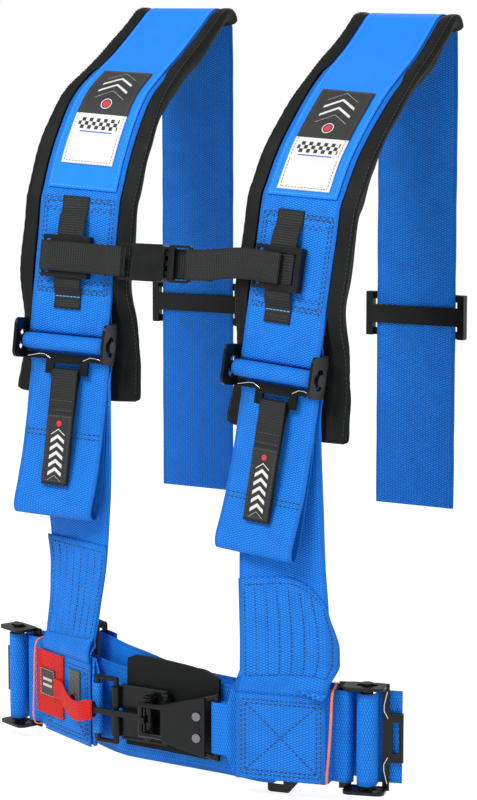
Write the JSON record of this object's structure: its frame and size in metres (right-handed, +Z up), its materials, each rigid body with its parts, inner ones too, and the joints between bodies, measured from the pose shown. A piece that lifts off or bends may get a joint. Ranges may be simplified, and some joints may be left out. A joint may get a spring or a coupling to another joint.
{
  "type": "racing harness",
  "caption": "Racing harness with padded shoulder belts, sliding chest strap, lap belt with lever latch, tilt-lock adjusters and bolt-in anchor plates.",
  "frame": {"origin": "middle of the footprint, at the height of the lowest point", "axes": "+Z up the wearer's torso, -Y out of the wearer's chest, +X to the right seen from the front"},
  "size_m": [0.418, 0.2518, 0.6412],
  "materials": {
    "blue_webbing": "woven polyester, slight sheen",
    "black_webbing": "woven nylon",
    "black_pad_fabric": "matte woven cover over foam",
    "label_fabric": "woven label",
    "black_steel": "satin black powder coat",
    "black_plastic": "moulded acetal",
    "chrome_wire": "polished spring wire",
    "bright_steel": "bright zinc",
    "red_webbing": "woven nylon",
    "orange_rubber": "smooth rubber"
  },
  "bodies": {
    "belts": {"anchor_plate_left": "black_steel", "anchor_plate_right": "black_steel", "anchor_web_left": "blue_webbing", "anchor_web_right": "blue_webbing", "chest_rail_strap_left": "black_webbing", "chest_rail_strap_right": "black_webbing", "hook_loop_patch": "black_webbing", "lap_web_left": "blue_webbing", "lap_web_right": "blue_webbing", "lap_web_ring": "black_steel", "latch_backing_pad": "black_pad_fabric", "latch_keeper_bar": "black_steel", "latch_pivot_pin": "black_steel", "latch_plate": "black_steel", "lower_web_left": "blue_webbing", "lower_web_right": "blue_webbing", "pad_cover_left": "blue_webbing", "pad_cover_right": "blue_webbing", "release_strap": "red_webbing", "release_strap_badge": "label_fabric", "release_strap_base": "red_webbing", "rubber_band_left": "orange_rubber", "rubber_band_right": "orange_rubber", "shoulder_label_left": "label_fabric", "shoulder_label_right": "label_fabric", "shoulder_pad_left": "black_pad_fabric", "shoulder_pad_right": "black_pad_fabric", "strap_snap": "chrome_wire", "upper_web_left": "blue_webbing", "upper_web_right": "blue_webbing"},
    "latch_lever": {"latch_lever": "black_steel"},
    "link": {"link_frame": "black_steel", "link_plate": "black_steel", "link_rivets": "bright_steel"},
    "chest_strap": {"chest_slider_left": "black_plastic", "chest_slider_right": "black_plastic", "chest_strap_left": "black_webbing", "chest_strap_right": "black_webbing", "buckle_socket": "black_plastic", "buckle_tongue": "black_plastic"},
    "prong_upper": {"buckle_prong_upper": "black_plastic"},
    "prong_lower": {"buckle_prong_lower": "black_plastic"},
    "rear_slide_left": {"rear_slide_left": "black_steel"},
    "rear_slide_right": {"rear_slide_right": "black_steel"},
    "pull_tab_left": {"pull_tab_left": "black_webbing"},
    "pull_tab_right": {"pull_tab_right": "black_webbing"},
    "adjuster_left": {"adjuster_left_frame": "black_steel", "adjuster_left_bar": "black_steel", "adjuster_left_springs": "chrome_wire"},
    "adjuster_right": {"adjuster_right_frame": "black_steel", "adjuster_right_bar": "black_steel", "adjuster_right_springs": "chrome_wire"},
    "lap_adjuster_left": {"lap_adjuster_left_frame": "black_steel", "lap_adjuster_left_bar": "black_steel", "lap_adjuster_left_springs": "chrome_wire"},
    "lap_adjuster_right": {"lap_adjuster_right_frame": "black_steel", "lap_adjuster_right_bar": "black_steel", "lap_adjuster_right_springs": "chrome_wire"}
  },
  "joints": [
    {"name": "latch_lever_pivot", "type": "hinge", "parent": "belts", "child": "latch_lever", "pos_m": [-0.00255, -0.11382, 0.052], "axis": [0, 0, 1], "range_deg": [0, 75], "deforming": ["release_strap"]},
    {"name": "link_draw", "type": "slide", "parent": "belts", "child": "link", "axis": [1, 0, 0], "range_m": [0, 0.008]},
    {"name": "chest_height", "type": "slide", "parent": "belts", "child": "chest_strap", "axis": [0.05, 0.1315, 0.9901], "range_m": [-0.008, 0.012]},
    {"name": "prong_upper_press", "type": "hinge", "parent": "chest_strap", "child": "prong_upper", "pos_m": [-0.01003, -0.07149, 0.43245], "axis": [-0.031, -0.9924, 0.1191], "range_deg": [0, 8]},
    {"name": "prong_lower_press", "type": "hinge", "parent": "chest_strap", "child": "prong_lower", "pos_m": [-0.01008, -0.07304, 0.41955], "axis": [0.031, 0.9924, -0.1191], "range_deg": [0, 8]},
    {"name": "rear_slide_left_travel", "type": "slide", "parent": "belts", "child": "rear_slide_left", "axis": [0, 0, 1], "range_m": [-0.12, 0.15]},
    {"name": "rear_slide_right_travel", "type": "slide", "parent": "belts", "child": "rear_slide_right", "axis": [0, 0, 1], "range_m": [-0.12, 0.15]},
    {"name": "adjuster_left_tilt", "type": "hinge", "parent": "belts", "child": "adjuster_left", "pos_m": [-0.11335, -0.0747, 0.35438], "axis": [-0.9937, -0.1054, 0.0387], "range_deg": [0, 20], "deforming": ["upper_web_left"]},
    {"name": "pull_tab_left_swing", "type": "hinge", "parent": "adjuster_left", "child": "pull_tab_left", "pos_m": [-0.1148, -0.07058, 0.32845], "axis": [-0.9937, -0.1054, 0.0387], "range_deg": [0, 65]},
    {"name": "adjuster_right_tilt", "type": "hinge", "parent": "belts", "child": "adjuster_right", "pos_m": [0.09879, -0.08179, 0.34291], "axis": [-0.9955, 0.0657, 0.0688], "range_deg": [0, 20], "deforming": ["upper_web_right"]},
    {"name": "pull_tab_right_swing", "type": "hinge", "parent": "adjuster_right", "child": "pull_tab_right", "pos_m": [0.09727, -0.07769, 0.31698], "axis": [-0.9955, 0.0657, 0.0688], "range_deg": [0, 65]},
    {"name": "lap_adjuster_left_tilt", "type": "hinge", "parent": "belts", "child": "lap_adjuster_left", "pos_m": [-0.18455, -0.04932, 0.0525], "axis": [0, 0, 1], "range_deg": [0, 20], "deforming": ["lap_web_left"]},
    {"name": "lap_adjuster_right_tilt", "type": "hinge", "parent": "belts", "child": "lap_adjuster_right", "pos_m": [0.18395, -0.07782, 0.0525], "axis": [0, 0, -1], "range_deg": [0, 20], "deforming": ["lap_web_right"]}
  ],
  "couplings": [
    {"joint": "link_draw", "follows": "latch_lever_pivot", "m_per_rad": 0.0061115},
    {"joint": "prong_lower_press", "follows": "prong_upper_press", "ratio": 1}
  ]
}
